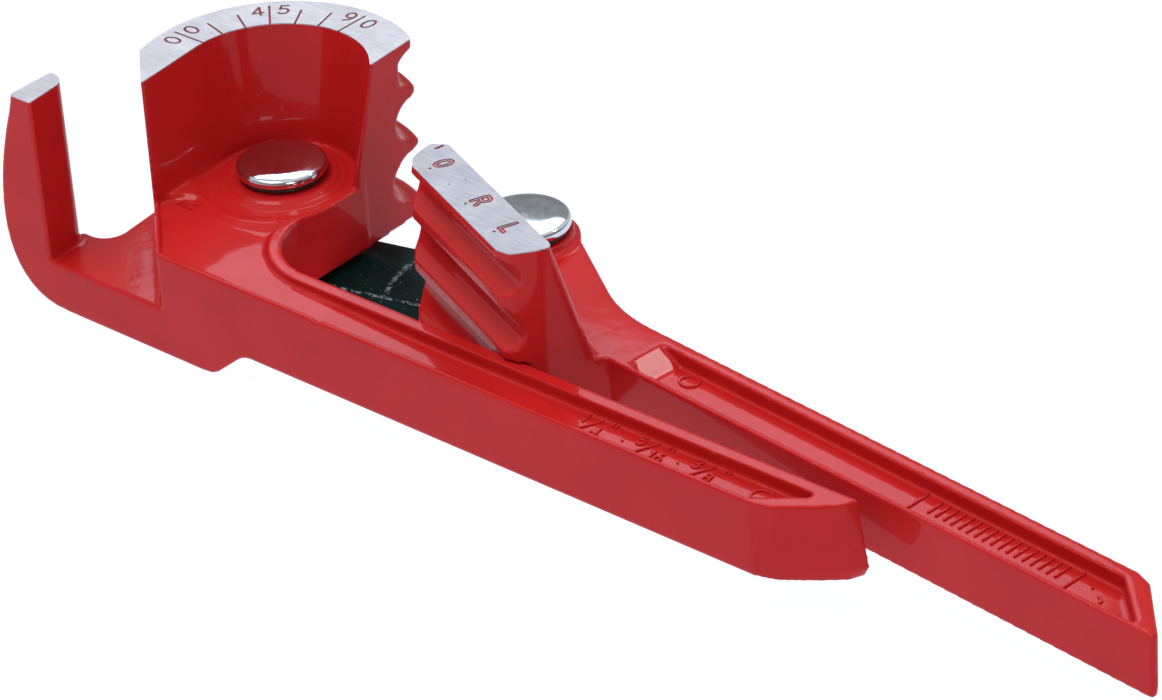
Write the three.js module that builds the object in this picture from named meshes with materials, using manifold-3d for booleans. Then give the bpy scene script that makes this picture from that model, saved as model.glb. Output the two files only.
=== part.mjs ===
// Three-size mini tube bender: a forming handle with a grooved wheel segment and a tube hook,
// a shoe handle with a straight grooved shoe, and a link plate that joins the two by riveted pins.
// Millimetres, +Z up. The origin is on the wheel pivot axis, in the plane of the foot's underside.
import * as THREE from 'three';
import { ConvexGeometry } from 'three/addons/geometries/ConvexGeometry.js';
import { mergeVertices } from 'three/addons/utils/BufferGeometryUtils.js';
import Module from 'manifold-3d';

const wasm = await Module();
wasm.setup();

const rad = THREE.MathUtils.degToRad;

// Heights above the foot's underside, and the play between neighbours
const castBase = 6;
const bodyTop = 18.6;
const shoeSeat = 17.7;
const wheelTop = 37.9;
const armTop = 16.4;
const play = 0.3;

// Tube grooves, bottom first: tube radius, groove floor from the wheel axis, depth in the shoe, height
const grooves = [
  { tube: 4.76, floor: 17.75, shoeDepth: 3.1, z: castBase + 7.3 },
  { tube: 3.97, floor: 19.05, shoeDepth: 2.8, z: castBase + 17.7 },
  { tube: 3.175, floor: 20.45, shoeDepth: 2.8, z: castBase + 26.7 },
];
const shoeGrooveRise = 0.5;
const troughFloor = grooves[0].z - grooves[0].tube;

// Forming wheel: rim, the straight tail that follows the tube, and the open recess
const lipRadius = 23.4;
const tailLip = 22.9;
const lipTip = 0.35;
const tailRun = 26;
const tubeLean = rad(6);
const tubeOuterLine = 27.1;
const tailFace = { x: -21.6, y: -8.4, endX: 1.5 };
const recess = { floorRadius: 12, topRadius: 15.9, floorEnd: 4.2, topEnd: 10.9 };
const rightWall = { x: 12.5, y: 4, slope: -0.07 };

// Handle of the forming casting, its channel, hook and foot
const nearFace = -30.5;
const farFace = -20.9;
const notch = { x: 25, y: -8.3, radius: 12.6 };
const lipWidth = 0.9;
const ribWidth = 2.3;
const hook = { outerTop: -28.3, outerX: -34.1, depth: 9.1, cornerRadius: 3.4 };
const foot = { left: -22, right: 11.3, stepEnd: 19, round: 1.6 };

// Link, pins and washers
const linkLength = 44.2;
const linkTurn = rad(13.6);
const linkHalfWidth = 7.8;
const linkTop = castBase - 1.5;
const linkBottom = 1;
const shaftRadius = 4;
const headRadius = 7.45;
const headHeight = 1.9;
const washerRadius = 7;
const washerThickness = 0.45;

// Shoe handle, in its own frame: origin on the shoe pin axis, +X along the handle
const armTurn = rad(-6.23);
const shoeTurn = rad(-16.72);
const shoeFace = -20.6;
const shoeTopFace = -20.3;
const shoeShoulder = 36.9;
const bossRadius = 8.8;
const armNear = -16.5;
const armFar = -5.9;
const armEnd = 143.1;

const enamel = { color: 0xb3121c, roughness: 0.28, metalness: 0.0 };
const chrome = { color: 0xc9c9c6, roughness: 0.12, metalness: 1.0 };
const blackSteel = { color: 0x14181a, roughness: 0.4, metalness: 0.6 };

function toSolid(geometry) {
  const bare = geometry.clone();
  for (const name of Object.keys(bare.attributes)) {
    if (name !== 'position') bare.deleteAttribute(name);
  }
  const merged = mergeVertices(bare, 1e-4);
  const mesh = new wasm.Mesh({
    numProp: 3,
    vertProperties: new Float32Array(merged.attributes.position.array),
    triVerts: new Uint32Array(merged.index.array),
  });
  return new wasm.Manifold(mesh);
}

function toMesh(name, solid, look) {
  const data = solid.getMesh();
  const geometry = new THREE.BufferGeometry();
  geometry.setAttribute('position', new THREE.BufferAttribute(new Float32Array(data.vertProperties), 3));
  geometry.setIndex(new THREE.BufferAttribute(new Uint32Array(data.triVerts), 1));
  geometry.computeVertexNormals();
  const mesh = new THREE.Mesh(geometry, new THREE.MeshStandardMaterial(look));
  mesh.name = name;
  return mesh;
}

// Upright prism over a plan outline
function prism(outline, bottom, top) {
  const shape = new THREE.Shape(outline.map(([x, y]) => new THREE.Vector2(x, y)));
  const geometry = new THREE.ExtrudeGeometry(shape, { depth: top - bottom, bevelEnabled: false });
  return toSolid(geometry.translate(0, 0, bottom));
}

// Prism over an outline of (x, z) points, from yMin to yMax
function sidePrism(outline, yMin, yMax) {
  const shape = new THREE.Shape(outline.map(([x, z]) => new THREE.Vector2(x, z)));
  const geometry = new THREE.ExtrudeGeometry(shape, { depth: yMax - yMin, bevelEnabled: false });
  return toSolid(geometry.rotateX(Math.PI / 2).translate(0, yMax, 0));
}

// Solid of revolution about Z from (radius, z) points, bottom first
function turned(profile, segments) {
  const points = profile.map(([r, z]) => new THREE.Vector2(r, z));
  return toSolid(new THREE.LatheGeometry(points, segments).rotateX(Math.PI / 2));
}

function disc(x, y, radius, bottom, top, segments = 36) {
  const geometry = new THREE.CylinderGeometry(radius, radius, top - bottom, segments);
  return toSolid(geometry.rotateX(Math.PI / 2).translate(x, y, (bottom + top) / 2));
}

// Convex body between two horizontal outlines
function loft(lower, bottom, upper, top) {
  const points = [
    ...lower.map(([x, y]) => new THREE.Vector3(x, y, bottom)),
    ...upper.map(([x, y]) => new THREE.Vector3(x, y, top)),
  ];
  return toSolid(new ConvexGeometry(points));
}

function arc(x, y, radius, from, to, steps) {
  const points = [];
  for (let i = 0; i <= steps; i += 1) {
    const angle = rad(from + ((to - from) * i) / steps);
    points.push([x + radius * Math.cos(angle), y + radius * Math.sin(angle)]);
  }
  return points;
}

function curve(...corners) {
  const controls = corners.map(([x, y]) => new THREE.Vector2(x, y));
  const Kind = controls.length === 4 ? THREE.CubicBezierCurve : THREE.QuadraticBezierCurve;
  return new Kind(...controls).getPoints(10).map((p) => [p.x, p.y]);
}

// x on the line that lies square to the leaning tube at a distance from the wheel axis
function tubeLineX(distance, y) {
  return -(distance + y * Math.sin(tubeLean)) / Math.cos(tubeLean);
}

// Rim section as (radius, z) points, bottom first: lips with round tips between round grooves
function rimSection(lip) {
  const points = [[lip, castBase]];
  for (const groove of grooves) {
    const centre = Math.min(groove.floor + groove.tube, lip - lipTip);
    points.push([lip, groove.z - groove.tube - lipTip]);
    for (const [r, z] of arc(centre, groove.z, groove.tube, 270, 90, 10)) {
      points.push([Math.max(r, groove.floor), z]);
    }
    points.push([lip, groove.z + groove.tube + lipTip]);
  }
  points.push([lip, wheelTop]);
  return points;
}

// Full turned rim joined to the straight tail that follows the tube
function wheelBlank() {
  const round = turned([[0, castBase], ...rimSection(lipRadius), [0, wheelTop]], 60);
  const section = [[0, castBase], ...rimSection(tailLip), [0, wheelTop]];
  const shape = new THREE.Shape(section.map(([r, z]) => new THREE.Vector2(r, z)));
  const tail = new THREE.ExtrudeGeometry(shape, { depth: tailRun, bevelEnabled: false });
  const outward = new THREE.Vector3(-Math.cos(tubeLean), -Math.sin(tubeLean), 0);
  const along = new THREE.Vector3(-Math.sin(tubeLean), Math.cos(tubeLean), 0);
  tail.applyMatrix4(new THREE.Matrix4().makeBasis(outward, new THREE.Vector3(0, 0, 1), along));
  tail.translate(-along.x * tailRun, -along.y * tailRun, 0);
  return round.add(toSolid(tail));
}

// Conical hollow of the wheel, open to the front along the straight inner wall
function recessVoid() {
  const above = 2;
  const draft = (recess.topRadius - recess.floorRadius) / (wheelTop - bodyTop);
  const top = wheelTop + above;
  const topRadius = recess.topRadius + draft * above;
  const cone = new THREE.CylinderGeometry(topRadius, recess.floorRadius, top - bodyTop, 60);
  cone.rotateX(Math.PI / 2).translate(0, 0, (top + bodyTop) / 2);
  const outline = (radius, end) => {
    const front = nearFace - 10;
    const chord = Math.sqrt(radius * radius - end * end);
    return [
      [-radius * Math.cos(tubeLean), -radius * Math.sin(tubeLean)],
      [tubeLineX(radius, front), front],
      [40, front],
      [40, end],
      [chord, end],
    ];
  };
  const floor = outline(recess.floorRadius, recess.floorEnd);
  const mouth = outline(topRadius, recess.topEnd);
  return toSolid(cone).add(loft(floor, bodyTop, mouth, top));
}

// Everything outside the wheel's right end wall
function rightCut() {
  const far = 30;
  const lean = rightWall.x + rightWall.slope * (far - rightWall.y);
  const outline = [[rightWall.x, -far], [60, -far], [60, far], [lean, far], [rightWall.x, rightWall.y]];
  return prism(outline, -1, wheelTop + 2);
}

// Everything in front of the slanted tail face, above the trough floor
function tailCut() {
  const slope = (nearFace - tailFace.y) / (tailFace.endX - tailFace.x);
  const left = tailFace.x - 11;
  const right = tailFace.endX + 11;
  const lineY = (x) => tailFace.y + slope * (x - tailFace.x);
  return prism([[left, lineY(left)], [left, -45], [right, -45], [right, lineY(right)]], troughFloor, 60);
}

// End of a handle beyond a root, drafted out towards its rounded lower edge, most on its far side
function draftedEnd(outline, root, top, draft) {
  const belly = castBase + 1.8;
  const near = Math.min(...outline.map(([, y]) => y));
  const far = Math.max(...outline.map(([, y]) => y));
  const share = (y) => 0.2 + (0.8 * (y - near)) / (far - near);
  const shifted = (amount) => outline.map(([x, y]) => [x > root ? x + amount * share(y) : x, y]);
  return loft(shifted(draft / 2), castBase, shifted(draft), belly)
    .add(loft(shifted(draft), belly, outline, top));
}

// Handle body with the round notch beside the wheel and the raked end
function handleBody() {
  const root = 110;
  const end = [[120.5, nearFace], [124, -29.5], [128.6, -26.2], [132, -23.3], [132.9, farFace]];
  const outline = [
    [-15.9, -13.9],
    [tailFace.endX, nearFace],
    [root, nearFace],
    [root, farFace],
    ...arc(notch.x, notch.y, notch.radius, 270, 180, 12),
    [rightWall.x, rightWall.y + 2],
    [-10, 5],
  ];
  const tip = draftedEnd([[root, farFace], [root, nearFace], ...end], root, bodyTop, 1.9);
  return prism(outline, castBase, bodyTop).add(tip);
}

// Pocket in front of the plateau, running on as the channel of the handle
function handleChannel() {
  const near = nearFace + lipWidth;
  const rib = farFace - ribWidth;
  const plan = prism([
    [-10.6, -17.7],
    [1.6, near],
    [119.5, near],
    [126.6, rib - 1.2],
    [126.8, rib],
    ...arc(notch.x, notch.y, notch.radius + ribWidth, 270, 192, 9),
    ...curve([8, -12.6], [3, -15.8], [-3, -13.6]),
    ...curve([-4, -13.3], [-7, -12.6], [-9.7, -14.9]),
  ], castBase, bodyTop + 2);
  const side = sidePrism([
    [-20, bodyTop - 0.8],
    [15, bodyTop - 0.9],
    [55, bodyTop - 2.2],
    [140, bodyTop - 2.2],
    [140, bodyTop + 1],
    [-20, bodyTop + 1],
  ], nearFace, farFace + 20);
  return plan.intersect(side);
}

// Hook, trough and foot in one curved side outline
function hookAndFoot() {
  const bottomCorner = castBase + 8;
  const outline = [
    ...curve([hook.outerTop, wheelTop], [-31.5, castBase + 24], [hook.outerX, castBase + 16],
      [hook.outerX, bottomCorner]),
    ...curve([hook.outerX, bottomCorner], [hook.outerX, castBase - 0.5], [-30, 0], [foot.left, 0]).slice(1),
    ...curve([foot.right - foot.round, 0], [foot.right + 0.3, 0], [foot.right + foot.round, 1.1]),
    ...curve([foot.stepEnd - foot.round, castBase - 1.2], [foot.stepEnd, castBase],
      [foot.stepEnd + foot.round, castBase]),
    [foot.stepEnd + foot.round, troughFloor],
    [-22, troughFloor],
    [-22, wheelTop],
  ];
  const body = sidePrism(outline, nearFace, nearFace + hook.depth);
  const innerX = (y) => tubeLineX(tubeOuterLine, y);
  const slot = prism([
    [innerX(-45), -45],
    [0, -45],
    [0, -10],
    [innerX(-10), -10],
  ], troughFloor, wheelTop + 2);
  const cornerY = nearFace + hook.depth - hook.cornerRadius;
  const cornerX = innerX(cornerY) - hook.cornerRadius;
  const corner = prism([
    ...arc(cornerX, cornerY, hook.cornerRadius, 90, 0, 6),
    [-20, cornerY],
    [-20, -15],
    [cornerX, -15],
  ], troughFloor, wheelTop + 2);
  return body.subtract(slot).subtract(corner);
}

// Web under the trough, filleted into the wheel's lower flange
function troughWeb() {
  const outline = [
    [-27, -21.5],
    [-26.5, -20.5],
    ...curve([-24.6, -20.5], [-21.4, -20.3], [-21, -16.5]),
    [-22, -9],
    [0, -9],
    [0, -21.5],
  ];
  return prism(outline, castBase, troughFloor);
}

function formingHandle() {
  const wheel = wheelBlank().subtract(recessVoid()).subtract(rightCut());
  const front = prism([[-40, nearFace + 1], [40, nearFace + 1], [40, -60], [-40, -60]], 0, 60);
  const casting = wheel
    .subtract(front)
    .add(handleBody())
    .subtract(tailCut())
    .add(hookAndFoot())
    .add(troughWeb())
    .subtract(handleChannel())
    .subtract(disc(notch.x, notch.y, notch.radius, -1, bodyTop + 2, 48))
    .subtract(disc(0, 0, shaftRadius + play, -1, bodyTop + 2));
  return toMesh('forming_handle', casting, enamel);
}

function linkPlate() {
  const outline = [
    ...arc(0, 0, linkHalfWidth, 90, 270, 14),
    ...arc(linkLength, 0, linkHalfWidth, -90, 90, 14),
  ];
  const plate = prism(outline, linkBottom, linkTop)
    .subtract(disc(0, 0, shaftRadius + play, 0, castBase))
    .subtract(disc(linkLength, 0, shaftRadius + play, 0, castBase));
  return toMesh('link_plate', plate, blackSteel);
}

// Riveted pivot pin: upset tail under the link, plain shaft, domed head
function pivotPin(name, seat) {
  const headBottom = seat + play + washerThickness + play;
  const profile = [
    [0, 0],
    [5.2, 0],
    [5.5, 0.3],
    [5.5, linkBottom - play],
    [shaftRadius, linkBottom - play],
    [shaftRadius, headBottom],
    [headRadius - 0.5, headBottom],
    [headRadius, headBottom + 0.4],
    [headRadius, headBottom + 0.8],
    [headRadius - 0.35, headBottom + 1.3],
    [headRadius - 1.2, headBottom + 1.6],
    [headRadius - 3, headBottom + 1.8],
    [0, headBottom + headHeight],
  ];
  return toMesh(name, turned(profile, 40), chrome);
}

function washer(name, bottom, top) {
  const ring = disc(0, 0, washerRadius, bottom, top)
    .subtract(disc(0, 0, shaftRadius + play, bottom - 1, top + 1));
  return toMesh(name, ring, blackSteel);
}

// Grooved shoe: a block that widens downwards, in the shoe handle's frame
function shoeBlock() {
  const upperFront = [[38.2, -15.6], [37, -19.4], [34.6, shoeTopFace], [5.8, shoeTopFace], [3.8, -19.4]];
  const upper = [[2.2, -13.1], [37.6, -13.1], [38.2, -13.8], ...upperFront, [2.4, -18], [0.7, -15.3]];
  const shoulderFront = [[38.3, -15.4], [37.1, -19.3], [34.8, shoeFace], [5, shoeFace], [2.8, -19.4]];
  const shoulder = [[2.2, -12.8], [37.7, -12.8], [38.4, -13.5], ...shoulderFront, [1.6, -17.6], [0.4, -15]];
  const lowerFront = [[38.4, -15], [37.3, -19.2], [35, shoeFace], [3, shoeFace], [0.4, -19.4]];
  const lower = [[2, -8.9], [37.4, -6.8], [38.3, -7.5], ...lowerFront, [-0.9, -17.8], [-0.8, -13]];
  let block = loft(lower, castBase, lower, armTop)
    .add(loft(lower, armTop, shoulder, shoeShoulder))
    .add(loft(shoulder, shoeShoulder, upper, wheelTop));
  for (const groove of grooves) {
    const cutter = new THREE.CylinderGeometry(groove.tube, groove.tube, 60, 32);
    cutter.rotateZ(Math.PI / 2);
    cutter.translate(20, shoeFace + groove.shoeDepth - groove.tube, groove.z + shoeGrooveRise);
    block = block.subtract(toSolid(cutter));
  }
  return block.rotate([0, 0, THREE.MathUtils.radToDeg(shoeTurn)]);
}

// Round boss, concave web and tapering arm behind the shoe
function shoeArm() {
  const root = 120;
  const outline = [
    [2, 8],
    ...curve([22, -2.8], [27.8, armFar], [35, armFar]),
    [root, armFar],
    [root, armNear],
    [36, armNear],
    [33.9, armNear - 2.5],
    [20, -16],
    [2, -10.5],
  ];
  const end = [[131.4, armFar], [134.4, armFar - 1], [armEnd, armNear + 1], [armEnd - 0.2, armNear]];
  const tip = draftedEnd([[root, armNear], [root, armFar], ...end], root, armTop, 0.9);
  const boss = disc(0, 0, bossRadius, castBase, armTop + 0.2, 40)
    .add(disc(0, 0, bossRadius - 1, castBase, shoeSeat, 40));
  return prism(outline, castBase, armTop).add(tip).add(boss);
}

// Channel of the shoe handle, entered by a short ramp
function armChannel() {
  const near = armNear + lipWidth;
  const far = armFar - ribWidth;
  const ramp = { top: 39.2, foot: 43.4 };
  const plan = prism([
    [ramp.top, near + 1],
    [ramp.top + 2, near],
    [138.7, near],
    [138.5, near + 0.8],
    [130.8, far],
    [ramp.top, far],
  ], castBase, armTop + 2);
  const floor = armTop - 2.4;
  const above = armTop + 1;
  const past = 145;
  const side = sidePrism([[ramp.top, armTop], [ramp.foot, floor], [past, floor], [past, above],
    [ramp.top, above]], -25, 5);
  return plan.intersect(side);
}

// Corner of the shoe that would foul the forming handle when the tool is shut, in the rest frame
function closedRelief(pin) {
  const limit = farFace + 0.5;
  const outline = [[40, limit], [40, -40], [110, -40], [110, limit]].map(([x, y]) => {
    const dx = x - pin.x;
    const dy = y - pin.y;
    const c = Math.cos(armTurn);
    const s = Math.sin(armTurn);
    return [dx * c + dy * s, dy * c - dx * s];
  });
  return prism(outline, 0, bodyTop + play);
}

function shoeHandle(pin) {
  const casting = shoeBlock()
    .add(shoeArm())
    .subtract(armChannel())
    .subtract(closedRelief(pin))
    .subtract(disc(0, 0, shaftRadius + play, 0, bodyTop + 2));
  return toMesh('shoe_handle', casting, enamel);
}

const headWasher = (seat) => [seat + play, seat + play + washerThickness];
const thrustWasher = [linkTop + play, castBase - play];

const linkGroup = new THREE.Group();
linkGroup.rotation.z = linkTurn;
const shoePinGroup = new THREE.Group();
shoePinGroup.position.x = linkLength;
shoePinGroup.add(
  pivotPin('shoe_pin', shoeSeat),
  washer('shoe_head_washer', ...headWasher(shoeSeat)),
  washer('shoe_thrust_washer', ...thrustWasher),
);
linkGroup.add(
  linkPlate(),
  pivotPin('wheel_pin', bodyTop),
  washer('wheel_head_washer', ...headWasher(bodyTop)),
  washer('wheel_thrust_washer', ...thrustWasher),
  shoePinGroup,
);

const pinPlace = new THREE.Vector3(linkLength * Math.cos(linkTurn), linkLength * Math.sin(linkTurn), 0);
const shoeGroup = new THREE.Group();
shoeGroup.position.copy(pinPlace);
shoeGroup.rotation.z = armTurn;
shoeGroup.add(shoeHandle(pinPlace));

const bender = new THREE.Group();
bender.add(formingHandle(), linkGroup, shoeGroup);

export default bender;
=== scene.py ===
import math

import bmesh
import bpy
import numpy as np
from mathutils import Matrix, Quaternion, Vector, geometry


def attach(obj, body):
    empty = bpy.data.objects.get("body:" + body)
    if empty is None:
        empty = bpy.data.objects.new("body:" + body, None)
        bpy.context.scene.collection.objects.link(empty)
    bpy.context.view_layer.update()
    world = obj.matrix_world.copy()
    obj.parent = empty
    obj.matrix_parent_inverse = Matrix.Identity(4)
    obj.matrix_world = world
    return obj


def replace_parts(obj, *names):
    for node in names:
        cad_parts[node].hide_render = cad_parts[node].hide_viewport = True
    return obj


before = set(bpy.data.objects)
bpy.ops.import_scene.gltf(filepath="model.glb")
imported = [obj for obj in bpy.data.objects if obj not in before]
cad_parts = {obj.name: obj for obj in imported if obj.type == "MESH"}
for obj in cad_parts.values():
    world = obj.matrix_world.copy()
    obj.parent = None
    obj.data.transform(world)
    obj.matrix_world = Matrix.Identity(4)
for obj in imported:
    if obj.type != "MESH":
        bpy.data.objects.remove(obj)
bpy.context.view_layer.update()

# Lengths below are millimetres in the row frame; MM turns them into Blender's metres.
MM = 0.001
WHEEL_TOP = 37.9
CAP = 0.2
BODY_TOP = 18.6
SHOE_SEAT = 17.7
CHANNEL_FLOOR = 16.4
ARM_FLOOR = 14.0
POCKET_FLOOR = 17.74
MARK_SINK = 0.35
PIP_SINK = 0.3
MARK_RISE = 0.3
LINK_LENGTH = 44.2
LINK_HALF_WIDTH = 7.8
LINK_BOTTOM = 1.0
LINK_TOP = 4.5
LINK_RIM = 0.35
BORE_RADIUS = 4.3
SHAFT_RADIUS = 4.0
HEAD_RADIUS = 7.45
HEAD_HEIGHT = 1.9
HEAD_GAP = 1.05
WASHER_RADIUS = 7.0
WASHER_EDGE = 0.12
HEAD_WASHER = (0.3, 0.75)
THRUST_WASHER = (4.8, 5.7)
CASTING_TRIANGLES = 196000
LINK_TURN = math.radians(13.6)
ARM_TURN = math.radians(-6.23)
SHOE_TURN = math.radians(-22.95)
PIN_2 = Vector((LINK_LENGTH * math.cos(LINK_TURN), LINK_LENGTH * math.sin(LINK_TURN), 0))

ARM_FRAME = Matrix.Translation(PIN_2) @ Matrix.Rotation(ARM_TURN, 4, "Z")
SHOE_FRAME = Matrix.Translation(PIN_2) @ Matrix.Rotation(SHOE_TURN, 4, "Z")
LINK_FRAME = Matrix.Rotation(LINK_TURN, 4, "Z")
ROW = Matrix.Identity(4)

scene = bpy.context.scene


# ---------- meshes ----------

def new_object(name, verts, faces, matrix=ROW):
    """A mesh object from millimetre vertices, placed by matrix, in metres."""
    mesh = bpy.data.meshes.new(name)
    mesh.from_pydata([tuple((matrix @ Vector(v)) * MM) for v in verts], [], faces)
    bm = bmesh.new()
    bm.from_mesh(mesh)
    bmesh.ops.recalc_face_normals(bm, faces=bm.faces)
    bm.to_mesh(mesh)
    bm.free()
    obj = bpy.data.objects.new(name, mesh)
    scene.collection.objects.link(obj)
    return obj


def bake(obj):
    """Applies the modifiers of an object."""
    bpy.context.view_layer.update()
    graph = bpy.context.evaluated_depsgraph_get()
    made = bpy.data.meshes.new_from_object(obj.evaluated_get(graph))
    old = obj.data
    obj.modifiers.clear()
    obj.data = made
    bpy.data.meshes.remove(old)
    return obj


def smooth_shade(obj, angle=None):
    mesh = obj.data
    mesh.polygons.foreach_set("use_smooth", [True] * len(mesh.polygons))
    if angle is not None:
        mesh.set_sharp_from_angle(angle=math.radians(angle))
    mesh.update()


def joined(name, parts):
    """One object from several meshes, which are removed."""
    bm = bmesh.new()
    for part in parts:
        bm.from_mesh(part.data)
    mesh = bpy.data.meshes.new(name)
    bm.to_mesh(mesh)
    bm.free()
    for part in parts:
        data = part.data
        bpy.data.objects.remove(part)
        bpy.data.meshes.remove(data)
    obj = bpy.data.objects.new(name, mesh)
    scene.collection.objects.link(obj)
    return obj


def prism(name, outline, bottom, top, matrix=ROW):
    count = len(outline)
    verts = [(x, y, bottom) for x, y in outline] + [(x, y, top) for x, y in outline]
    sides = [(i, (i + 1) % count, (i + 1) % count + count, i + count) for i in range(count)]
    faces = [tuple(reversed(range(count))), tuple(range(count, 2 * count))] + sides
    return new_object(name, verts, faces, matrix)


def turned(name, profile, matrix=ROW, segments=112):
    """Solid of revolution about Z, from (radius, z) points. A profile off the axis closes on itself."""
    ring = profile[0][0] > 0
    verts, rows = [], []
    for radius, z in profile:
        if radius == 0:
            rows.append([len(verts)] * segments)
            verts.append((0, 0, z))
        else:
            rows.append(list(range(len(verts), len(verts) + segments)))
            for i in range(segments):
                angle = 2 * math.pi * i / segments
                verts.append((radius * math.cos(angle), radius * math.sin(angle), z))
    faces = []
    pairs = list(zip(rows, rows[1:])) + ([(rows[-1], rows[0])] if ring else [])
    for low, high in pairs:
        for i in range(segments):
            j = (i + 1) % segments
            corners = [low[i], low[j], high[j], high[i]]
            faces.append(tuple(dict.fromkeys(corners)))
    return new_object(name, verts, faces, matrix)


def rounded(points, radius, steps=5):
    """A polyline with its inner corners rounded; a point's third number is its own radius."""
    made = [tuple(points[0][:2])]
    for before, here, after in zip(points, points[1:], points[2:]):
        r = here[2] if len(here) > 2 else radius
        a = Vector(before[:2]) - Vector(here[:2])
        b = Vector(after[:2]) - Vector(here[:2])
        reach = min(r, a.length * 0.48, b.length * 0.48)
        start = Vector(here[:2]) + a.normalized() * reach
        end = Vector(here[:2]) + b.normalized() * reach
        for i in range(steps + 1):
            t = i / steps
            p = start * (1 - t) ** 2 + Vector(here[:2]) * 2 * t * (1 - t) + end * t * t
            made.append((p.x, p.y))
    made.append(tuple(points[-1][:2]))
    return made


# ---------- strokes for marks ----------

def bow(x, y, rx, ry, start, end, steps=14):
    return [
        (
            x + rx * math.cos(math.radians(start + (end - start) * i / steps)),
            y + ry * math.sin(math.radians(start + (end - start) * i / steps)),
        )
        for i in range(steps + 1)
    ]


GLYPHS = {
    "0": [bow(0.3, 0.5, 0.3, 0.5, 0, 360, 20)],
    "1": [[(0.1, 0.78), (0.34, 1), (0.34, 0)]],
    "3": [bow(0.26, 0.75, 0.27, 0.25, 150, -90) + bow(0.26, 0.26, 0.31, 0.26, 90, -150)],
    "4": [[(0.46, 0), (0.46, 1), (0, 0.3), (0.64, 0.3)]],
    "5": [[(0.56, 1), (0.12, 1), (0.08, 0.56)] + bow(0.28, 0.33, 0.31, 0.33, 125, -145)],
    "6": [bow(0.3, 0.3, 0.28, 0.3, 0, 360, 18), bow(0.5, 0.3, 0.48, 0.7, 180, 100, 8)],
    "8": [bow(0.3, 0.76, 0.24, 0.24, 0, 360, 16), bow(0.3, 0.27, 0.3, 0.27, 0, 360, 16)],
    "9": [bow(0.3, 0.7, 0.28, 0.3, 0, 360, 18), bow(0.1, 0.7, 0.48, 0.7, 0, -80, 8)],
    "R": [
        [(0.04, 0), (0.04, 1), (0.34, 1)] + bow(0.34, 0.75, 0.24, 0.25, 90, -90, 8) + [(0.04, 0.5)],
        [(0.3, 0.5), (0.62, 0)],
    ],
    "L": [[(0.04, 1), (0.04, 0), (0.56, 0)]],
    "/": [[(0, 0), (0.5, 1)]],
    '"': [[(0.1, 1), (0.04, 0.72)], [(0.34, 1), (0.28, 0.72)]],
}


def glyph(letter, x, y, height, turn=0.0, width=1.0):
    """The polylines of a glyph centred on (x, y), turned by an angle in degrees."""
    c, s = math.cos(math.radians(turn)), math.sin(math.radians(turn))
    lines = []
    for line in GLYPHS[letter]:
        local = [((u - 0.3) * height * width, (v - 0.5) * height) for u, v in line]
        lines.append([(x + u * c - v * s, y + u * s + v * c) for u, v in local])
    return lines


def capsule(a, b, width, steps=5):
    """Outline of a thick line with round ends."""
    along = Vector(b) - Vector(a)
    heading = math.degrees(math.atan2(along.y, along.x)) if along.length > 1e-6 else 0
    half = width / 2
    return bow(b[0], b[1], half, half, heading - 90, heading + 90, steps) + bow(
        a[0], a[1], half, half, heading + 90, heading + 270, steps
    )


def segments_of(lines):
    return [(a, b) for line in lines for a, b in zip(line, line[1:])]


def inside(point, loop):
    hit = False
    x, y = point
    for (x0, y0), (x1, y1) in zip(loop, loop[1:] + loop[:1]):
        if (y0 > y) != (y1 > y) and x < x0 + (y - y0) * (x1 - x0) / (y1 - y0):
            hit = not hit
    return hit


def distance(point, a, b):
    p, a, b = Vector(point), Vector(a), Vector(b)
    run = b - a
    t = 0.0 if run.length_squared < 1e-12 else max(0.0, min(1.0, (p - a).dot(run) / run.length_squared))
    return (p - a - run * t).length


# ---------- materials ----------

def material(name, **inputs):
    mat = bpy.data.materials.new(name)
    mat.use_nodes = True
    shader = mat.node_tree.nodes["Principled BSDF"]
    for key, value in inputs.items():
        shader.inputs[key.replace("_", " ")].default_value = value
    return mat, mat.node_tree, shader


def node(tree, kind, settings=None, **inputs):
    made = tree.nodes.new(kind)
    for key, value in (settings or {}).items():
        setattr(made, key, value)
    for key, value in inputs.items():
        socket = made.inputs[int(key[1:])] if key[0] == "i" and key[1:].isdigit() else made.inputs[key]
        if isinstance(value, bpy.types.NodeSocket):
            tree.links.new(value, socket)
        else:
            socket.default_value = value
    return made


def ramp(tree, factor, stops):
    made = node(tree, "ShaderNodeValToRGB", Fac=factor)
    band = made.color_ramp
    while len(band.elements) < len(stops):
        band.elements.new(0.5)
    for element, (place, colour) in zip(band.elements, stops):
        element.position = place
        element.color = colour if len(colour) == 4 else (*colour, 1)
    return made.outputs["Color"]


def grey(value):
    return (value, value, value, 1)


def place(tree, scale):
    """Object space times scale; PER_MM gives millimetres."""
    coords = node(tree, "ShaderNodeTexCoord")
    mapped = node(tree, "ShaderNodeMapping", Vector=coords.outputs["Object"])
    mapped.inputs["Scale"].default_value = scale
    return mapped.outputs["Vector"]


def noise(tree, vector, scale, detail=3.0, rough=0.5):
    made = node(tree, "ShaderNodeTexNoise", Vector=vector, Scale=scale, Detail=detail, Roughness=rough)
    return made.outputs["Fac"]


def mix(tree, factor, a, b):
    made = node(tree, "ShaderNodeMix", {"data_type": "RGBA"})
    for socket, value in ((made.inputs[0], factor), (made.inputs[6], a), (made.inputs[7], b)):
        if isinstance(value, bpy.types.NodeSocket):
            tree.links.new(value, socket)
        else:
            socket.default_value = value
    return made.outputs[2]


def tint(tree, a, b):
    """Two colours multiplied."""
    made = node(tree, "ShaderNodeMix", {"data_type": "RGBA", "blend_type": "MULTIPLY"})
    made.inputs[0].default_value = 1.0
    tree.links.new(a, made.inputs[6])
    tree.links.new(b, made.inputs[7])
    return made.outputs[2]


def maths(tree, operation, a, b=0.0):
    return node(tree, "ShaderNodeMath", {"operation": operation}, i0=a, i1=b).outputs[0]


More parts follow.
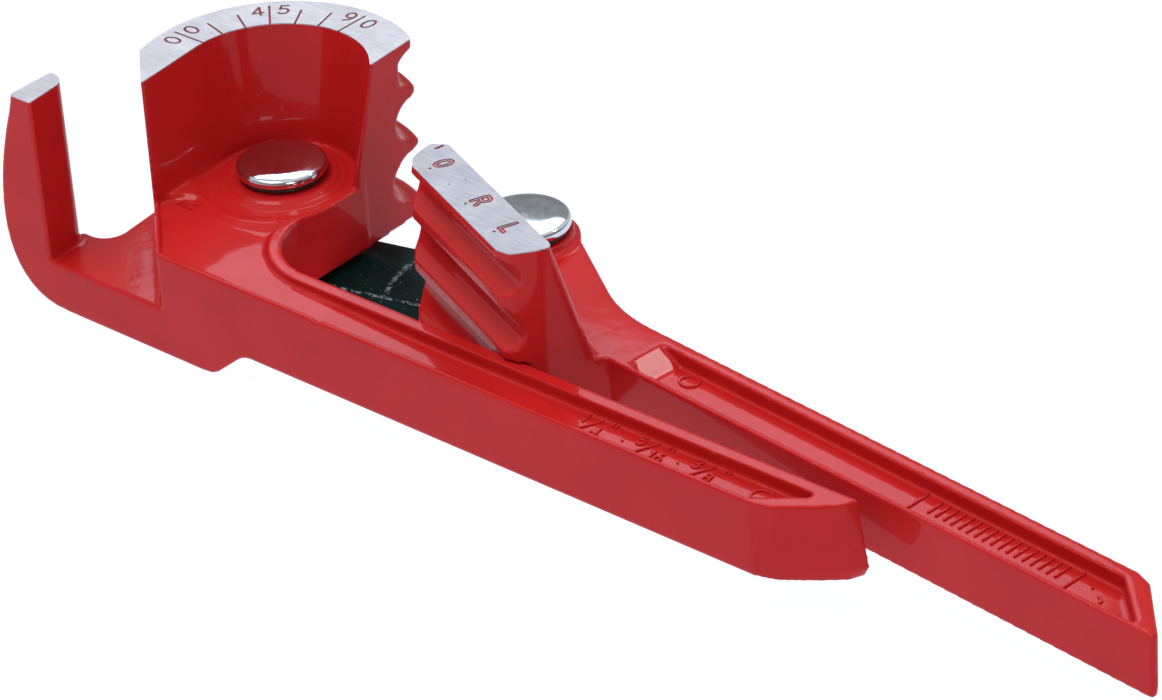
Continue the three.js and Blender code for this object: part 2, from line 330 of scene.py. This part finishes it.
def bump(tree, height, strength, distance_mm, normal=None):
    made = node(tree, "ShaderNodeBump", Height=height, Strength=strength, Distance=distance_mm * MM)
    if normal is not None:
        tree.links.new(normal, made.inputs["Normal"])
    return made.outputs["Normal"]


PER_MM = (1000, 1000, 1000)


def red_enamel():
    mat, tree, shader = material(
        "red_enamel", Coat_Weight=0.26, Coat_Roughness=0.05, Coat_IOR=1.5, Specular_IOR_Level=0.05
    )
    space = place(tree, PER_MM)
    cloud = noise(tree, space, 0.09, 3)
    body = ramp(tree, cloud, [(0.3, (0.44, 0.0105, 0.0110)), (0.7, (0.49, 0.0130, 0.0140))])
    # Convex edges, found by pointiness and broken into patches, are mixed to a lighter pinker red: partly
    # thin worn enamel, partly a painted edge highlight.
    point = node(tree, "ShaderNodeNewGeometry").outputs["Pointiness"]
    edge = ramp(tree, point, [(0.53, grey(0)), (0.62, grey(1))])
    worn_and_highlit_patches = ramp(tree, noise(tree, space, 0.8, 4), [(0.45, grey(0)), (0.62, grey(0.45))])
    worn = maths(tree, "MULTIPLY", edge, worn_and_highlit_patches)
    base = mix(tree, worn, body, (0.62, 0.06, 0.07, 1))
    specks = ramp(tree, noise(tree, space, 1.9, 1), [(0.79, grey(0)), (0.82, grey(1))])
    tree.links.new(mix(tree, specks, base, (0.58, 0.08, 0.08, 1)), shader.inputs["Base Color"])
    gloss = ramp(tree, noise(tree, space, 0.35, 4), [(0.3, grey(0.28)), (0.7, grey(0.42))])
    tree.links.new(gloss, shader.inputs["Roughness"])
    waves = bump(tree, noise(tree, space, 0.16, 2, 0.4), 0.22, 0.12)
    peel = bump(tree, noise(tree, space, 1.5, 2), 0.16, 0.02, waves)
    dust = bump(tree, specks, 0.5, 0.04, peel)
    tree.links.new(dust, shader.inputs["Normal"])
    tree.links.new(dust, shader.inputs["Coat Normal"])
    return mat


def milled_face(turn, dark, light):
    """Bare casting metal with the fine parallel lines of a mill or belt, at an angle about Z."""
    mat, tree, shader = material("milled_face_%d" % round(turn), Metallic=0.65)
    coords = node(tree, "ShaderNodeTexCoord")
    mapped = node(tree, "ShaderNodeMapping", Vector=coords.outputs["Object"])
    mapped.inputs["Rotation"].default_value = (0, 0, math.radians(turn))
    mapped.inputs["Scale"].default_value = (180, 6500, 1000)
    lines = noise(tree, mapped.outputs["Vector"], 1.0, 4, 0.65)
    space = place(tree, PER_MM)
    patches = noise(tree, space, 0.25, 3)
    tone = ramp(tree, lines, [(0.3, dark), (0.72, light)])
    stain = ramp(tree, patches, [(0.35, (0.86, 0.85, 0.87)), (0.65, (1.0, 0.99, 1.0))])
    stained = tint(tree, tone, stain)
    pits = ramp(tree, noise(tree, space, 1.1, 2), [(0.74, grey(0)), (0.78, grey(1))])
    tree.links.new(mix(tree, pits, stained, (0.30, 0.27, 0.29, 1)), shader.inputs["Base Color"])
    rough = ramp(tree, lines, [(0.3, grey(0.46)), (0.7, grey(0.34))])
    tree.links.new(rough, shader.inputs["Roughness"])
    tree.links.new(bump(tree, lines, 0.35, 0.02), shader.inputs["Normal"])
    return mat


def mark_paint(name, dark, light):
    mat, tree, shader = material(name, Roughness=0.5)
    space = place(tree, PER_MM)
    tone = ramp(tree, noise(tree, space, 1.2, 3), [(0.35, dark), (0.65, light)])
    tree.links.new(tone, shader.inputs["Base Color"])
    tree.links.new(bump(tree, noise(tree, space, 3, 2), 0.3, 0.03), shader.inputs["Normal"])
    return mat


def chrome():
    mat, tree, shader = material("pin_chrome", Metallic=1.0)
    space = place(tree, PER_MM)
    smear = noise(tree, space, 0.5, 4, 0.6)
    tone = ramp(tree, smear, [(0.3, (0.54, 0.58, 0.64)), (0.7, (0.68, 0.72, 0.78))])
    tree.links.new(tone, shader.inputs["Base Color"])
    rough = ramp(tree, smear, [(0.3, grey(0.04)), (0.7, grey(0.09))])
    tree.links.new(rough, shader.inputs["Roughness"])
    streaks = noise(tree, place(tree, (900, 5200, 900)), 1.0, 3, 0.6)
    tree.links.new(bump(tree, streaks, 0.12, 0.01), shader.inputs["Normal"])
    return mat


def black_steel():
    """Blackened plate, rubbed bright along its top edges and in an arc under the shoe. The wear is
    laid out along the plate, in centimetres from the wheel pin."""
    mat, tree, shader = material(
        "black_steel", Metallic=0.0, Coat_Weight=0.05, Coat_Roughness=0.1, Specular_IOR_Level=0.05
    )
    space = place(tree, PER_MM)
    grain = noise(tree, space, 0.7, 5, 0.65)
    body = ramp(tree, grain, [(0.3, (0.0008, 0.010, 0.009)), (0.7, (0.0018, 0.015, 0.014))])
    broken = ramp(tree, noise(tree, space, 0.9, 4, 0.7), [(0.47, grey(0)), (0.60, grey(1))])
    coords = node(tree, "ShaderNodeTexCoord").outputs["Object"]
    along = node(tree, "ShaderNodeMapping", Vector=coords)
    along.inputs["Rotation"].default_value = (0, 0, -LINK_TURN)
    along.inputs["Scale"].default_value = (100, 100, 0)
    side = node(tree, "ShaderNodeSeparateXYZ", Vector=along.outputs["Vector"]).outputs["Y"]
    reach = maths(tree, "ABSOLUTE", side)
    edge = ramp(tree, reach, [(0.735, grey(0)), (0.765, grey(1))])
    lift = node(tree, "ShaderNodeSeparateXYZ", Vector=space).outputs["Z"]
    top = maths(tree, "GREATER_THAN", lift, LINK_TOP - 0.3)
    swing = node(
        tree, "ShaderNodeVectorMath", {"operation": "DISTANCE"}, i0=along.outputs["Vector"],
        i1=(LINK_LENGTH / 10, 0, 0),
    ).outputs["Value"]
    arc = maths(tree, "SUBTRACT", swing, 2.0)
    scuff = ramp(tree, arc, [(0.30, grey(0)), (0.34, grey(0.8)), (0.37, grey(0.8)), (0.43, grey(0))])
    worn = maths(tree, "MULTIPLY", maths(tree, "MAXIMUM", edge, scuff), maths(tree, "MULTIPLY", top, broken))
    rubbed = mix(tree, worn, body, (0.20, 0.25, 0.28, 1))
    dust = ramp(tree, noise(tree, space, 2.6, 1), [(0.74, grey(0)), (0.79, grey(1))])
    tree.links.new(mix(tree, dust, rubbed, (0.20, 0.25, 0.26, 1)), shader.inputs["Base Color"])
    rough = ramp(tree, grain, [(0.3, grey(0.30)), (0.7, grey(0.48))])
    tree.links.new(rough, shader.inputs["Roughness"])
    tree.links.new(bump(tree, grain, 0.35, 0.06), shader.inputs["Normal"])
    return mat


def black_washer():
    mat, tree, shader = material("black_washer", Metallic=0.0, Coat_Weight=0.2, Coat_Roughness=0.2)
    space = place(tree, PER_MM)
    grain = noise(tree, space, 1.4, 4)
    tree.links.new(ramp(tree, grain, [(0.3, grey(0.006)), (0.7, grey(0.014))]), shader.inputs["Base Color"])
    tree.links.new(ramp(tree, grain, [(0.3, grey(0.3)), (0.7, grey(0.45))]), shader.inputs["Roughness"])
    tree.links.new(bump(tree, grain, 0.3, 0.03), shader.inputs["Normal"])
    return mat


ENAMEL = red_enamel()
# The wheel's mark colour is the enamel's red darkened as painted shade for its narrow engraved strokes; the
# shoe's marks keep a red near the enamel's own.
SHADED_WHEEL_MARK_PAINT = mark_paint("mark_paint", (0.14, 0.006, 0.012, 1), (0.30, 0.012, 0.022, 1))
SHOE_PAINT = mark_paint("shoe_mark_paint", (0.42, 0.014, 0.026, 1), (0.60, 0.025, 0.045, 1))
CHROME = chrome()
FORMING_METAL = milled_face(-24, (0.43, 0.43, 0.45), (0.65, 0.64, 0.67))
SHOE_METAL = milled_face(67, (0.30, 0.31, 0.33), (0.48, 0.48, 0.51))
STEEL = black_steel()
WASHER = black_washer()


# ---------- castings ----------

def cut_caps(obj, height):
    """Cuts a casting flat at a height, closes it with the paint colour, and gives the outlines."""
    bm = bmesh.new()
    bm.from_mesh(obj.data)
    everything = bm.verts[:] + bm.edges[:] + bm.faces[:]
    bmesh.ops.bisect_plane(
        bm, geom=everything, dist=1e-7, plane_co=(0, 0, height * MM), plane_no=(0, 0, 1), clear_outer=True
    )
    rim = [e for e in bm.edges if len(e.link_faces) == 1]
    loops, left = [], dict.fromkeys(rim)
    while left:
        start, here = left.popitem()[0].verts
        loop = [start, here]
        while here is not start:
            step = next(e for e in here.link_edges if e in left)
            del left[step]
            here = step.other_vert(here)
            if here is not start:
                loop.append(here)
        loops.append([(v.co.x / MM, v.co.y / MM) for v in loop])
    for edge in rim:
        edge.smooth = False
    filled = bmesh.ops.triangle_fill(bm, edges=rim, use_beauty=True, use_dissolve=False)
    for face in filled["geom"]:
        if isinstance(face, bmesh.types.BMFace):
            face.material_index = 1
            face.smooth = False
            if face.normal.z < 0:
                face.normal_flip()
    bm.to_mesh(obj.data)
    bm.free()
    return sorted(loops, key=len, reverse=True)


def add_grid(obj, voxel):
    grid = obj.modifiers.new("grid", "REMESH")
    grid.mode = "VOXEL"
    grid.voxel_size = voxel * MM


def add_softening(obj, passes):
    soft = obj.modifiers.new("soft", "SMOOTH")
    soft.factor = 0.5
    soft.iterations = passes


def casting(name, cad_node, voxel, paint, shape=None):
    """The cast and enamelled body of a CAD node: its solid remeshed, shaped and softened. The top
    faces are raised first, so that the cut of cut_caps stays clear of their softened edges."""
    copy = bpy.data.objects.new(name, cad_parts[cad_node].data.copy())
    scene.collection.objects.link(copy)
    for v in copy.data.vertices:
        if v.co.z > (WHEEL_TOP - 0.1) * MM:
            v.co.z += 1.5 * MM
    obj = joined(name, [copy])
    obj.data.materials.clear()
    add_grid(obj, voxel)
    bake(obj)
    if shape is not None:
        count = len(obj.data.vertices)
        co = np.zeros(count * 3, np.float32)
        obj.data.vertices.foreach_get("co", co)
        moved = shape(co.reshape(-1, 3) / MM) * MM
        obj.data.vertices.foreach_set("co", moved.astype(np.float32).ravel())
        obj.data.update()
    add_softening(obj, 5)
    bake(obj)
    triangles = sum(len(p.vertices) - 2 for p in obj.data.polygons)
    if triangles > CASTING_TRIANGLES:
        thin = obj.modifiers.new("thin", "DECIMATE")
        thin.ratio = CASTING_TRIANGLES / triangles
        bake(obj)
    obj.data.materials.append(ENAMEL)
    obj.data.materials.append(paint)
    smooth_shade(obj)
    return obj


def cap(name, loop, marks, body, metal):
    """A bare milled face over a cut casting. A mark's lines are cut through to the paint, over a
    width, and stand proud as bare metal again within an inner width."""
    points, edges = [], []

    def add(outline):
        first = len(points)
        points.extend(Vector(p) for p in outline)
        edges.extend((first + i, first + (i + 1) % len(outline)) for i in range(len(outline)))

    add(loop)
    strokes = [(a, b, width, core) for lines, width, core in marks for a, b in segments_of(lines)]
    for a, b, width, core in strokes:
        add(capsule(a, b, width))
        if core > 0:
            add(capsule(a, b, core))
    coords, _, triangles, *_ = geometry.delaunay_2d_cdt(points, edges, [], 0, 1e-5)
    kept = []
    for tri in triangles:
        centre = sum((Vector(coords[i]) for i in tri), Vector((0, 0))) / 3
        if not inside(centre, loop):
            continue
        spans = [(distance(centre, a, b), width, core) for a, b, width, core in strokes]
        cut = any(span < width / 2 for span, width, _ in spans)
        if cut and not any(span < core / 2 for span, _, core in spans):
            continue
        kept.append(tuple(tri))
    used = sorted({i for tri in kept for i in tri})
    index = {old: new for new, old in enumerate(used)}
    flat = [(coords[i][0], coords[i][1]) for i in used]
    count = len(flat)
    verts = [(x, y, WHEEL_TOP) for x, y in flat] + [(x, y, WHEEL_TOP - CAP) for x, y in flat]
    faces, borders = [], {}
    for tri in kept:
        top = [index[i] for i in tri]
        faces.append(tuple(top))
        faces.append(tuple(i + count for i in reversed(top)))
        for a, b in zip(top, top[1:] + top[:1]):
            key = (min(a, b), max(a, b))
            borders[key] = None if key in borders else (a, b)
    for pair in borders.values():
        if pair is not None:
            a, b = pair
            faces.append((b, a, a + count, b + count))
    obj = new_object(name, verts, faces)
    obj.data.materials.append(metal)
    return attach(obj, body)


def step(value, low, high):
    t = np.clip((value - low) / (high - low), 0, 1)
    return t * t * (3 - 2 * t)


SLOPE_HIGH = [
    (-9.7, -14.9), (-8.5, -13.4), (-6.5, -12.5), (-3.5, -13.2), (0, -13.6), (4.4, -13.1), (9.6, -10.7)
]
SLOPE_LOW = [
    (-9.7, -15.5), (-8, -14.4), (-6.5, -13.7), (-4.5, -14.0), (-2.2, -14.8), (1, -15.7), (4.8, -16.1),
    (9.1, -14.9), (10.6, -14.2),
]


def forming_shape(p):
    """Slope down into the pocket, two low rings round the wheel pin, and a nick in the near lip."""
    x, y, z = p[:, 0], p[:, 1], p[:, 2]
    high = np.interp(x, *zip(*SLOPE_HIGH))
    low = np.interp(x, *zip(*SLOPE_LOW))
    fall = np.clip((high - y) / (high - low), 0, 1)
    near = (x > -9.7) & (x < 10.2) & (z > 17.1) & (z < 19.0) & (y < high + 0.7) & (y > low - 0.7)
    z[near] = (BODY_TOP - (BODY_TOP - POCKET_FLOOR) * fall)[near]
    radius = np.hypot(x, y)
    band = step(z, 17.6, 18.2) * (1 - step(z, 18.9, 20.5))
    rings = 0.5 * step(radius, 9.0, 9.3) + 0.35 * step(radius, 10.2, 10.5)
    z -= band * rings * (1 - step(radius, 12.4, 15.5)) * (1 - fall * near)
    nick = np.exp(-((x - 35.8) ** 2 + (y + 29.9) ** 2 + (z - BODY_TOP) ** 2) / 0.35)
    z -= 0.6 * nick
    return p


def stroke_prisms(lines, width, floor, sink=MARK_SINK, matrix=ROW):
    bottom, top = floor - sink, floor + MARK_RISE
    return [prism("stroke", capsule(a, b, width, 4), bottom, top, matrix) for a, b in segments_of(lines)]


def raised(name, parts, body):
    """Raised casting marks as one softened enamelled piece."""
    obj = joined(name, parts)
    add_grid(obj, 0.11)
    add_softening(obj, 3)
    bake(obj)
    obj.data.materials.append(ENAMEL)
    smooth_shade(obj)
    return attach(obj, body)


def wheel_marks():
    """Degree scale: ticks every 15 degrees, figures on both sides of the long ones."""
    marks = []
    for i in range(7):
        angle = math.radians(180 - 15 * i)
        outer = 21.9 if i % 3 == 0 else 20.2
        c, s = math.cos(angle), math.sin(angle)
        marks.append(([[(15.5 * c, 15.5 * s), (outer * c, outer * s)]], 0.38, 0))
    for letter, angle in (("0", 186.3), ("0", 174), ("4", 140.6), ("5", 128.4), ("9", 95.3), ("0", 83.3)):
        x = 20.3 * math.cos(math.radians(angle))
        y = 20.3 * math.sin(math.radians(angle))
        marks.append((glyph(letter, x, y, 2.8, angle - 90, 1.0), 0.44, 0))
    return marks


def shoe_marks():
    """Alignment marks 0, R and L with their dots, in the row frame."""
    local = [
        ([[(2.0, -13.8), (2.3, -15.1)]], 0.55, 0),
        (glyph("0", 7.1, -16.0, 2.7, 0, 0.95), 0.9, 0.14),
        (glyph("R", 20.5, -16.0, 2.8, 0, 0.95), 0.86, 0.12),
        (glyph("L", 30.1, -15.9, 2.8, 0, 0.95), 0.86, 0.12),
        ([[(7.4, -18.5), (7.45, -18.5)]], 0.5, 0),
        ([[(20.1, -18.5), (20.15, -18.5)]], 0.5, 0),
        ([[(29.9, -18.45), (29.95, -18.45)]], 0.5, 0),
        ([[(13.4, -18.1), (13.45, -18.1)]], 0.3, 0),
        ([[(13.5, -15.3), (13.55, -15.3)]], 0.26, 0),
    ]
    made = []
    for lines, width, core in local:
        placed = [[(SHOE_FRAME @ Vector((x, y, 0))).to_2d().to_tuple() for x, y in line] for line in lines]
        made.append((placed, width, core))
    return made


def size_marks():
    """Raised tube sizes in the channel of the forming handle."""
    lines = []
    for top, low, x in (("1", "4", 84.6), ("5", "16", 95.3), ("3", "8", 105.8)):
        lines += glyph(top, x + 0.7, -24.6, 2.0)
        lines += glyph("/", x + 2.6, -25.6, 3.8)
        for i, letter in enumerate(low):
            lines += glyph(letter, x + 4.1 + 1.45 * i, -26.6, 2.0)
        lines += glyph('"', x + 6.1, -24.9, 3.0)
    lines += [[(93.5, -26.2), (93.55, -26.2)], [(103.9, -26.1), (103.95, -26.1)]]
    lines += [bow(119.3, -25.8, 1.7, 1.5, 0, 360, 18)]
    return stroke_prisms(lines, 0.4, CHANNEL_FLOOR)


def pocket_pips():
    """Small cast pips beside the slope into the pocket."""
    lines = [bow(-7.4, -15.6, 0.75, 0.6, -80, 80, 6), [(-8.1, -16.2), (-7.9, -15.0)]]
    lines += [[(-6.0, -14.7), (-5.2, -14.4)], [(-5.9, -16.1), (-5.2, -15.9)]]
    return stroke_prisms(lines, 0.34, POCKET_FLOOR, PIP_SINK)


def grip_ribs():
    """Ribbed panel between two end bars in the channel of the shoe handle."""
    lines = [[(94.6, -15.2), (94.6, -8.7)], [(124.2, -15.2), (124.2, -8.7)]]
    for i in range(17):
        x = 97.6 + 1.5 * i
        lines.append([(x, -12.1), (x, -9.1)])
    lines += [[(127.3, -10.7), (127.35, -10.7)], bow(129.0, -12.9, 1.4, 1.2, 10, 80, 6)]
    lines += [bow(47.3, -10.4, 1.6, 1.4, 0, 360, 16)]
    return stroke_prisms(lines, 0.45, ARM_FLOOR, matrix=ARM_FRAME)


forming = casting("forming_casting", "forming_handle", 0.3, SHADED_WHEEL_MARK_PAINT, forming_shape)
forming_loops = cut_caps(forming, WHEEL_TOP - CAP)
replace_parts(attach(forming, "forming"), "forming_handle")
for loop in forming_loops:
    if max(x for x, y in loop) > -20:
        cap("wheel_scale_face", loop, wheel_marks(), "forming", FORMING_METAL)
    else:
        cap("hook_milled_face", loop, [], "forming", FORMING_METAL)
raised("size_marks", size_marks(), "forming")
raised("pocket_pips", pocket_pips(), "forming")

shoe = casting("shoe_casting", "shoe_handle", 0.28, SHOE_PAINT)
shoe_loops = cut_caps(shoe, WHEEL_TOP - CAP)
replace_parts(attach(shoe, "shoe"), "shoe_handle")
cap("shoe_scale_face", shoe_loops[0], shoe_marks(), "shoe", SHOE_METAL)
raised("grip_ribs", grip_ribs(), "shoe")


# ---------- link, pins and washers ----------

def finish_piece(obj, mat, slot, body, *nodes):
    obj.data.materials.clear()
    obj.data.materials.append(mat)
    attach(obj, body)
    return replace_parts(obj, *nodes)


def link_plate():
    """Stamped plate with rounded rims, a 2D curve with two holes given thickness and bevel."""
    curve = bpy.data.curves.new("link_plate_steel", "CURVE")
    curve.dimensions = "2D"
    curve.fill_mode = "BOTH"
    curve.extrude = ((LINK_TOP - LINK_BOTTOM) / 2 - LINK_RIM) * MM
    curve.bevel_depth = LINK_RIM * MM
    curve.bevel_resolution = 3
    curve.offset = -LINK_RIM * MM
    half = LINK_HALF_WIDTH
    outline = bow(0, 0, half, half, 90, 270, 48) + bow(LINK_LENGTH, 0, half, half, -90, 90, 48)
    holes = [bow(x, 0, BORE_RADIUS, BORE_RADIUS, 0, 360, 64)[:-1] for x in (0, LINK_LENGTH)]
    for loop in [outline] + holes:
        spline = curve.splines.new("POLY")
        spline.points.add(len(loop) - 1)
        for point, (x, y) in zip(spline.points, loop):
            spot = LINK_FRAME @ Vector((x, y, 0))
            point.co = (spot.x * MM, spot.y * MM, 0, 1)
        spline.use_cyclic_u = True
    shell = bpy.data.objects.new("link_plate_steel", curve)
    scene.collection.objects.link(shell)
    bpy.context.view_layer.update()
    graph = bpy.context.evaluated_depsgraph_get()
    mesh = bpy.data.meshes.new_from_object(shell.evaluated_get(graph))
    bpy.data.objects.remove(shell)
    bpy.data.curves.remove(curve)
    mesh.transform(Matrix.Translation((0, 0, (LINK_TOP + LINK_BOTTOM) / 2 * MM)))
    bm = bmesh.new()
    bm.from_mesh(mesh)
    bmesh.ops.remove_doubles(bm, verts=bm.verts, dist=1e-6)
    bmesh.ops.recalc_face_normals(bm, faces=bm.faces)
    bm.to_mesh(mesh)
    bm.free()
    obj = bpy.data.objects.new("link_plate_steel", mesh)
    scene.collection.objects.link(obj)
    smooth_shade(obj, 40)
    return finish_piece(obj, STEEL, "black_steel", "link", "link_plate")


def pin(name, matrix, seat, body, cad_node):
    """Rivet pin with a domed head and a peened tail."""
    head = seat + HEAD_GAP
    tail = rounded([(0, 0.0), (4.9, 0.05), (5.5, 0.2), (5.5, 0.62), (4.3, 0.68)], 0.4)
    shaft = [(SHAFT_RADIUS, 0.72), (SHAFT_RADIUS, head)]
    dome = [
        (6.7, head), (HEAD_RADIUS, head, 0.45), (HEAD_RADIUS, head + 1.45, 0.95), (5.2, head + 1.8, 1.4),
        (0, head + HEAD_HEIGHT),
    ]
    top = rounded(dome, 0.4, 8)
    obj = turned(name, tail + shaft + top, matrix)
    smooth_shade(obj, 55)
    return finish_piece(obj, CHROME, "pin_chrome", body, cad_node)


def washer(name, matrix, bottom, top, body, cad_node):
    r, bore, rim = WASHER_EDGE, BORE_RADIUS, WASHER_RADIUS
    profile = [
        (bore + r, bottom), (rim - r, bottom), (rim, bottom + r), (rim, top - r),
        (rim - r, top), (bore + r, top), (bore, top - r), (bore, bottom + r),
    ]
    obj = turned(name, profile, matrix)
    smooth_shade(obj, 50)
    return finish_piece(obj, WASHER, "black_washer", body, cad_node)


SHOE_PIN = Matrix.Translation(PIN_2)
link_plate()
pin("wheel_pin_rivet", ROW, BODY_TOP, "link", "wheel_pin")
pin("shoe_pin_rivet", SHOE_PIN, SHOE_SEAT, "pin", "shoe_pin")
wheel_seat = [BODY_TOP + rise for rise in HEAD_WASHER]
shoe_seat = [SHOE_SEAT + rise for rise in HEAD_WASHER]
washer("wheel_head_washer_ring", ROW, *wheel_seat, "link", "wheel_head_washer")
washer("shoe_head_washer_ring", SHOE_PIN, *shoe_seat, "pin", "shoe_head_washer")
washer("wheel_thrust_washer_ring", ROW, *THRUST_WASHER, "link", "wheel_thrust_washer")
washer("shoe_thrust_washer_ring", SHOE_PIN, *THRUST_WASHER, "link", "shoe_thrust_washer")


# ---------- camera, floor and light ----------

def make_camera():
    """A long lens from the front right and above, rolled a little, aimed at the middle of the tool."""
    azimuth, elevation, roll = (math.radians(a) for a in (42.267, 31.717, -3.57))
    level = math.cos(elevation)
    back = Vector((math.sin(azimuth) * level, -math.cos(azimuth) * level, math.sin(elevation)))
    right = Vector((math.cos(azimuth), math.sin(azimuth), 0))
    up = back.cross(right)
    x_axis = right * math.cos(roll) + up * math.sin(roll)
    y_axis = up * math.cos(roll) - right * math.sin(roll)
    spot = back * 723.0 + x_axis * 47.602 - y_axis * 17.822 + Vector((0, 0, 6))
    data = bpy.data.cameras.new("camera")
    data.sensor_width = 36
    data.lens = 137.15
    data.clip_start = 0.01
    data.clip_end = 50
    obj = bpy.data.objects.new("camera", data)
    scene.collection.objects.link(obj)
    turn = Matrix((x_axis, y_axis, back)).transposed()
    obj.matrix_world = Matrix.Translation(spot * MM) @ turn.to_4x4()
    scene.camera = obj


def make_floor():
    mesh = bpy.data.meshes.new("floor")
    mesh.from_pydata([(-4, -4, 0), (4, -4, 0), (4, 4, 0), (-4, 4, 0)], [], [(0, 1, 2, 3)])
    obj = bpy.data.objects.new("floor", mesh)
    obj.location.z = -0.0002
    scene.collection.objects.link(obj)
    mat, tree, shader = material("floor", Roughness=0.9, Specular_IOR_Level=0.1, Emission_Strength=1.0)
    shader.inputs["Emission Color"].default_value = (0.96, 0.98, 1.12, 1)
    space = place(tree, (3, 3, 3))
    tone = ramp(tree, noise(tree, space, 1.0, 2), [(0.3, grey(0.05)), (0.7, grey(0.06))])
    tree.links.new(tone, shader.inputs["Base Color"])
    obj.data.materials.append(mat)


def area(name, spot, target, size, power, colour=(1, 1, 1), spin=0.0):
    data = bpy.data.lights.new(name, "AREA")
    data.shape = "RECTANGLE"
    data.size, data.size_y = size
    data.energy = power
    data.color = colour
    obj = bpy.data.objects.new(name, data)
    scene.collection.objects.link(obj)
    obj.location = spot
    aim = (Vector(target) - Vector(spot)).to_track_quat("-Z", "Y")
    obj.rotation_euler = (aim @ Quaternion((0, 0, 1), math.radians(spin))).to_euler()


def make_world():
    world = bpy.data.worlds.new("studio")
    world.use_nodes = True
    tree = world.node_tree
    shade = tree.nodes["Background"]
    toward = node(tree, "ShaderNodeTexCoord").outputs["Generated"]
    height = node(tree, "ShaderNodeSeparateXYZ", Vector=toward).outputs["Z"]
    sky = ramp(tree, height, [(0.0, grey(0.55)), (0.6, grey(1.0))])
    for heading, stops in (
        ((-0.57, 0.63, 0.53), [(0.86, grey(1.0)), (0.96, grey(0.40))]),
        ((1.0, 0.0, 0.0), [(0.1, grey(1.0)), (0.7, grey(0.35))]),
        ((0.0, -1.0, 0.1), [(0.3, grey(1.0)), (0.9, grey(0.45))]),
    ):
        share = node(tree, "ShaderNodeVectorMath", {"operation": "DOT_PRODUCT"}, i0=toward, i1=heading)
        dim = ramp(tree, share.outputs["Value"], stops)
        sky = tint(tree, sky, dim)
    tree.links.new(sky, shade.inputs["Color"])
    shade.inputs["Strength"].default_value = 0.95
    scene.world = world


make_camera()
make_floor()
make_world()
middle = (0.05, 0.0, 0.01)
area("overhead", (-0.12, -0.24, 0.9), middle, (0.5, 0.4), 4.2)
area("right", (0.8, -0.4, 0.35), middle, (0.3, 0.3), 1.5)
area("sheet", (-0.489, 0.568, 0.677), middle, (0.40, 0.30), 1.4, (0.92, 1.0, 1.14), -19.3)
area("glint", (0.22, 0.52, 0.76), middle, (0.12, 0.12), 0.9)
scene.view_settings.view_transform = "Standard"
